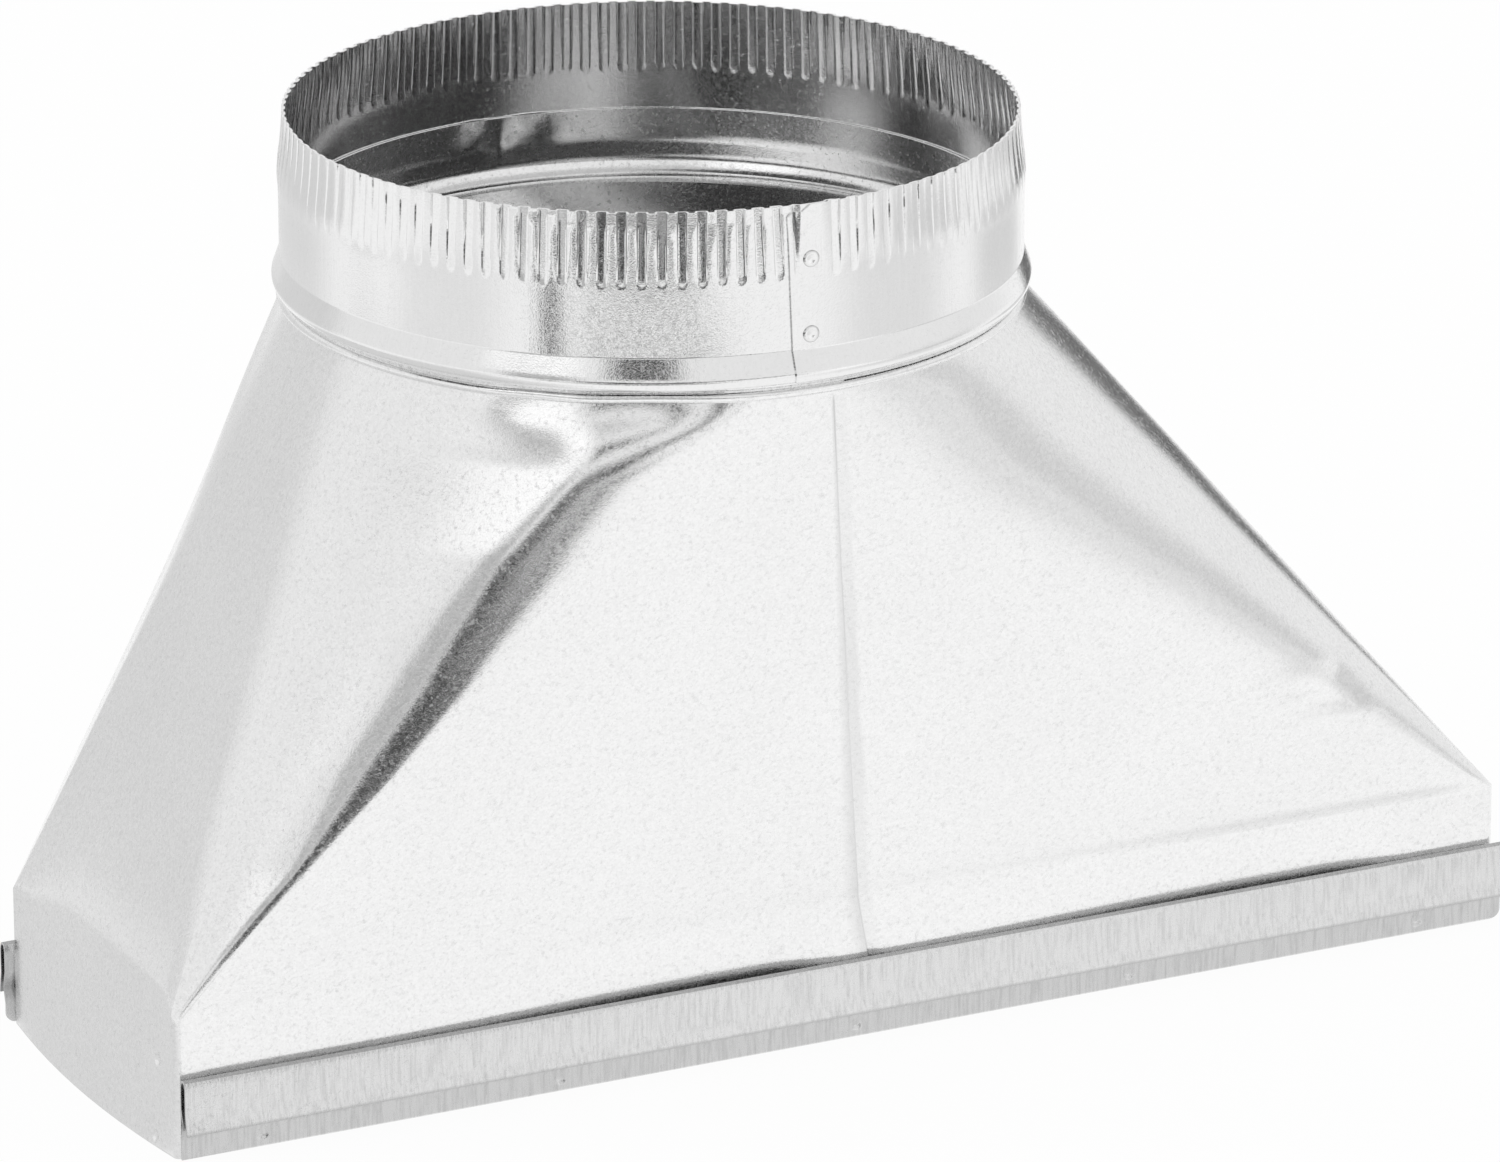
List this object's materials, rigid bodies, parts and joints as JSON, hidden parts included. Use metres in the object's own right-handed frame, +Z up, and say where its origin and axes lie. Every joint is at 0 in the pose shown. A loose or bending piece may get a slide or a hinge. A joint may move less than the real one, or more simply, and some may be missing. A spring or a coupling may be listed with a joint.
{
  "type": "duct transition piece",
  "caption": "Rectangular-to-round sheet-steel duct boot with a crimped round collar, conical corners and folded slip cleats along the long sides of its rectangular end.",
  "frame": {"origin": "middle of the rectangular rim, on the plane that it stands on", "axes": "+X along the long side of the rectangular end, +Z up along the collar; the lap seam is on the -Y side and the collar stands towards -X"},
  "size_m": [0.3118, 0.1568, 0.1935],
  "materials": {
    "panel_sheet": "galvanised, fine spangle",
    "collar_sheet": "galvanised, rolled",
    "cleat_sheet": "galvanised, drawn streaks"
  },
  "bodies": {
    "root": {"body": "panel_sheet", "collar": "collar_sheet", "front_cleat": "cleat_sheet", "back_cleat": "cleat_sheet"}
  },
  "joints": []
}
